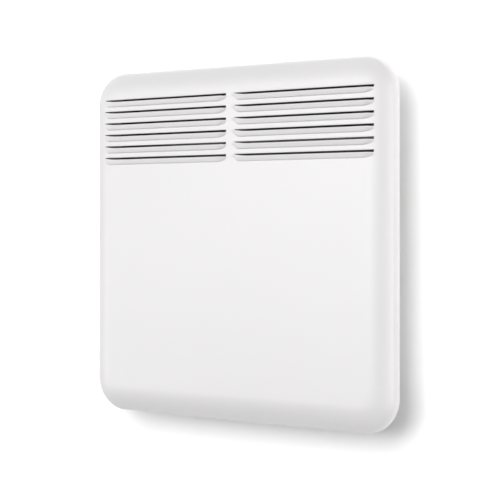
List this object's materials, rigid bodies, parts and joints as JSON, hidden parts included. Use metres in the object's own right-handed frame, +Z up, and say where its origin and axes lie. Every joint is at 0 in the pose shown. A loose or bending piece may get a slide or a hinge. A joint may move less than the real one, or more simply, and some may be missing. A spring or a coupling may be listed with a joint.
{
  "type": "wall panel convector heater",
  "caption": "Wall panel convector heater: white pressed steel cover with louvred outlet, rear casing with finned element and side controls, lifting off a wall bracket.",
  "frame": {"origin": "middle of the wall bracket's four screw holes, on the wall plane", "axes": "+Z up, the front cover faces -Y, the wall is on the +Y side, +X to the right seen from the front"},
  "size_m": [0.46, 0.0835, 0.44],
  "materials": {
    "cover_white": "smooth satin powder coat",
    "casing_white": "fine texture powder coat",
    "zinc_steel": "zinc plated",
    "zinc_sheet": "galvanised sheet",
    "aluminised_sheet": "bright rolled sheet",
    "element_aluminium": "die cast, matt",
    "tube_steel": "drawn stainless",
    "ceramic": "unglazed steatite",
    "phenolic_black": "moulded phenolic",
    "tinned_brass": "stamped",
    "bezel_plastic": "fine spark texture",
    "lamp_amber": "clear amber",
    "nylon_black": "moulded nylon",
    "rocker_plastic": "gloss",
    "knob_plastic": "satin",
    "copper": "drawn copper",
    "nylon_natural": "natural nylon",
    "nylon_grey": "moulded nylon",
    "wire_brown": "silicone insulation",
    "wire_blue": "silicone insulation",
    "wire_green": "green and yellow insulation",
    "bracket_steel": "powder coated 1.5 mm steel",
    "spacer_rubber": "moulded rubber"
  },
  "bodies": {
    "bracket": {"wall_bracket": "bracket_steel"},
    "heater": {"front_cover": "cover_white", "rear_casing": "casing_white", "cover_screws": "zinc_steel", "air_deflector": "zinc_sheet", "heat_shield": "aluminised_sheet", "element_fins": "element_aluminium", "element_tube": "tube_steel", "element_pins": "tube_steel", "element_bushes": "ceramic", "element_support_left": "zinc_sheet", "element_support_right": "zinc_sheet", "support_screws": "zinc_steel", "cutout_bracket": "zinc_sheet", "thermal_cutout": "phenolic_black", "cutout_terminals": "tinned_brass", "cutout_screw": "zinc_steel", "control_bezel": "bezel_plastic", "bezel_screws": "zinc_steel", "lamp_lens": "lamp_amber", "lamp_holder": "nylon_black", "switch_housing_lower": "nylon_black", "switch_housing_upper": "nylon_black", "switch_terminals": "tinned_brass", "thermostat_body": "phenolic_black", "thermostat_terminals": "tinned_brass", "sensor_bulb": "copper", "bulb_clips": "zinc_sheet", "capillary_tube": "copper", "terminal_block": "nylon_natural", "terminal_screws": "zinc_steel", "cable_gland": "nylon_grey", "gland_nut": "nylon_grey", "earth_tag": "tinned_brass", "earth_screw": "zinc_steel", "live_wire": "wire_brown", "switch_wire": "wire_brown", "thermostat_wire": "wire_brown", "cutout_wire": "wire_brown", "element_wire": "wire_brown", "neutral_wire": "wire_blue", "earth_wire": "wire_green", "wire_saddles": "nylon_natural", "wall_spacers": "spacer_rubber"},
    "knob": {"thermostat_knob": "knob_plastic", "thermostat_spindle": "tube_steel"},
    "lower_switch": {"rocker_lower": "rocker_plastic"},
    "upper_switch": {"rocker_upper": "rocker_plastic"}
  },
  "joints": [
    {"name": "lift_off", "type": "slide", "parent": "bracket", "child": "heater", "axis": [0, 0, 1], "range_m": [0, 0.012]},
    {"name": "thermostat_turn", "type": "hinge", "parent": "heater", "child": "knob", "pos_m": [-0.206, -0.038, -0.045], "axis": [1, 0, 0], "range_deg": [0, 270]},
    {"name": "lower_switch_rock", "type": "hinge", "parent": "heater", "child": "lower_switch", "pos_m": [-0.1997, -0.038, -0.115], "axis": [0, 1, 0], "range_deg": [0, 16]},
    {"name": "upper_switch_rock", "type": "hinge", "parent": "heater", "child": "upper_switch", "pos_m": [-0.1997, -0.038, -0.085], "axis": [0, 1, 0], "range_deg": [0, 16]}
  ]
}
